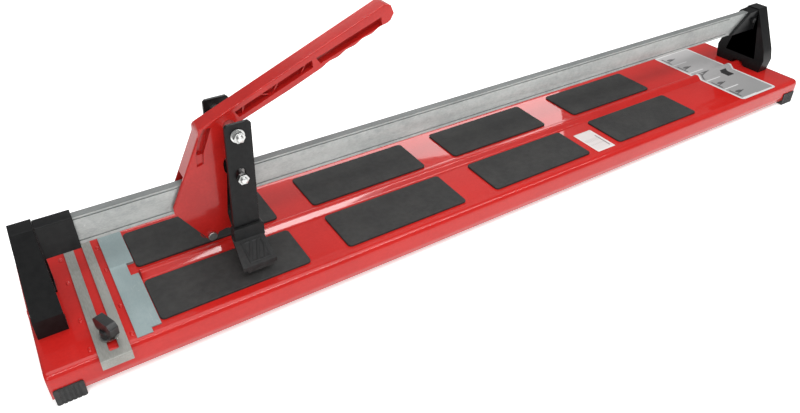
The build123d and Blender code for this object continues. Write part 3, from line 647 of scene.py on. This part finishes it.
def threadedEnd(name, x, z, start, end, body):
    # a stub along y whose radius rises and falls once per pitch and leads by one pitch per turn,
    # closed by a flat face that shrinks to the middle
    rows = int(abs(end - start) / thread["pitch"] * thread["perPitch"]) + 2
    y = np.linspace(start, end, rows)
    a = np.linspace(0, 2 * np.pi, thread["around"], endpoint=False)
    phase = (y[:, None] / thread["pitch"] + a[None, :] / (2 * np.pi)) % 1.0
    radius = thread["radius"] - thread["depth"] * (1 - np.abs(2 * phase - 1))
    tip = np.minimum(1.0, (np.abs(end - y) + 0.0002) / 0.0008)[:, None]
    radius = radius * (0.84 + 0.16 * tip)
    along = np.repeat(y[:, None], len(a), axis=1)
    grid = np.stack([x + radius * np.cos(a), along, z + radius * np.sin(a)], axis=2)
    first = np.repeat(np.array([[[x, start, z]]]), len(a), axis=1)
    last = np.repeat(np.array([[[x, end, z]]]), len(a), axis=1)
    piece = surfaceFromGrid(name, np.concatenate([first, grid, last], axis=0), boltZinc, closeV=True)
    outwards(piece)
    piece.data.set_sharp_from_angle(angle=math.radians(50))
    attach(piece, body)


jointAt = {joint["name"]: joint.get("pos_m") for joint in frame["record"]["behaviour"]["joints"]}
upperBolt, mainBolt = jointAt["lever_tilt"], jointAt["top_rear_spin"]
threadedEnd("thread_upper_near", upperBolt[0], upperBolt[2], -0.0490, -0.0528, "press")
threadedEnd("thread_main_near", mainBolt[0], mainBolt[2], -0.0495, -0.0530, "carriage")
threadedEnd("thread_main_far", mainBolt[0], mainBolt[2], 0.0495, 0.0530, "carriage")
print("threads cut")

shoePanel = {"x": (-0.4475, -0.4185), "y": (0.0495, 0.0825), "height": 0.0008, "border": 0.10, "bars": 3.0,
             "thick": 0.0006, "topY": 0.046, "topZ": 0.0825, "fall": 13.5 / 40}


def softStep(value, at, width):
    return easeStep(np.clip((value - at) / width + 0.5, 0, 1))


def shoeRelief(name, side):
    # a raised frame with leaning bars inside it, on the shoe's sloping face:
    # height over the slope is the larger of the frame's and the bars' soft steps
    u, v = np.meshgrid(np.linspace(0, 1, 61), np.linspace(0, 1, 61), indexing="ij")
    away = np.maximum(np.abs(u - 0.5), np.abs(v - 0.5))
    frameUp = softStep(away, 0.5 - shoePanel["border"], 0.05)
    wave = np.abs(((u + 0.45 * v) * shoePanel["bars"]) % 1.0 - 0.5)
    barsUp = softStep(0.5 - wave, 0.28, 0.12)
    up = np.maximum(frameUp, barsUp) * (1 - softStep(away, 0.485, 0.03))
    px = shoePanel["x"][0] + (shoePanel["x"][1] - shoePanel["x"][0]) * u
    py = shoePanel["y"][0] + (shoePanel["y"][1] - shoePanel["y"][0]) * v
    pz = shoePanel["topZ"] - (py - shoePanel["topY"]) * shoePanel["fall"] - 0.00015 + shoePanel["height"] * up
    piece = surfaceFromGrid(name, np.stack([px, side * py, pz], axis=2), shoePlastic)
    faceTowards(piece, Vector((0, 0, 1)))
    thicken(piece, shoePanel["thick"])
    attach(piece, "press")


shoeRelief("shoe_relief_near", -1)
shoeRelief("shoe_relief_far", 1)
print("shoes embossed")


stage = {"floor": (0.90, 0.90, 0.895), "size": 14.0, "glow": 0.55}  # glow keeps the far floor pale


def paleFloor():
    # a flat square sheet at floor height, a little below the feet
    edge = np.linspace(-stage["size"] / 2, stage["size"] / 2, 5)
    px, py = np.meshgrid(edge, edge, indexing="ij")
    grid = np.stack([px, py, np.full_like(px, -0.0005)], axis=2)
    material = bpy.data.materials.new("paleFloor")
    material.use_nodes = True
    tree = material.node_tree
    shader = tree.nodes["Principled BSDF"]
    place = addNode(tree, "ShaderNodeTexCoord").outputs["Object"]
    tone = rampOf(tree, noiseOf(tree, place, 1.5), 0.3, 0.7)
    color = mixColor(tree, tone, stage["floor"], tuple(c * 0.985 for c in stage["floor"]))
    tree.links.new(color, shader.inputs["Base Color"])
    shader.inputs["Emission Color"].default_value = (*stage["floor"], 1)
    shader.inputs["Emission Strength"].default_value = stage["glow"]
    shader.inputs["Roughness"].default_value = 0.9
    shader.inputs["Specular IOR Level"].default_value = 0.1
    piece = surfaceFromGrid("studio_floor", grid, material)


paleFloor()

world = bpy.data.worlds.new("softStudio")
scene.world = world
world.use_nodes = True
sky = world.node_tree
skyShader = sky.nodes["Background"]
skyShader.inputs["Color"].default_value = (1.0, 1.0, 1.0, 1)
seenOrLit = addNode(sky, "ShaderNodeLightPath")
skyLevel = rampOf(sky, seenOrLit.outputs["Is Camera Ray"], 0.0, 1.0)
skyRange = sky.nodes[-1]
skyRange.inputs["To Min"].default_value = 0.26
skyRange.inputs["To Max"].default_value = 1.0
sky.links.new(skyLevel, skyShader.inputs["Strength"])

softBoxes = {  # name: position, target, width, height, watts
    "overheadBox": ((-0.1, -0.1, 2.2), (0.0, 0.0, 0.05), 3.2, 1.6, 40.0),
    "frontBox": ((-1.6, -1.9, 1.3), (-0.2, 0.0, 0.1), 1.2, 1.0, 15.0),
    "rearStrip": ((0.6, 1.7, 1.1), (0.1, 0.0, 0.1), 2.2, 0.25, 10.0),
    "nearStrip": ((0.3, -1.0, 1.7), (0.1, 0.0, 0.05), 3.0, 0.12, 22.0)}
for boxName, (position, target, width, height, watts) in softBoxes.items():
    light = bpy.data.lights.new(boxName, "AREA")
    light.shape = "RECTANGLE"
    light.size, light.size_y = width, height
    light.energy = watts
    lamp = bpy.data.objects.new(boxName, light)
    lamp.location = position
    lamp.rotation_euler = (Vector(target) - Vector(position)).to_track_quat("-Z", "Y").to_euler()
    scene.collection.objects.link(lamp)

camera = {"position": (-0.6387, -0.7473, 0.6563), "target": (-0.1905, -0.0525, 0.1), "roll": 0.53,
          "lens": 30.9, "shiftX": -0.0098, "shiftY": -0.0405}
cameraData = bpy.data.cameras.new("studioCamera")
cameraData.lens = camera["lens"]
cameraData.sensor_width = 36.0
cameraData.shift_x = camera["shiftX"]
cameraData.shift_y = camera["shiftY"]
cameraData.clip_start = 0.01
cameraObject = bpy.data.objects.new("studioCamera", cameraData)
scene.collection.objects.link(cameraObject)
look = (Vector(camera["target"]) - Vector(camera["position"])).to_track_quat("-Z", "Y").to_matrix()
turned = look @ Matrix.Rotation(math.radians(camera["roll"]), 3, "Z")
cameraObject.matrix_world = Matrix.Translation(camera["position"]) @ turned.to_4x4()
scene.camera = cameraObject
print("stage set")
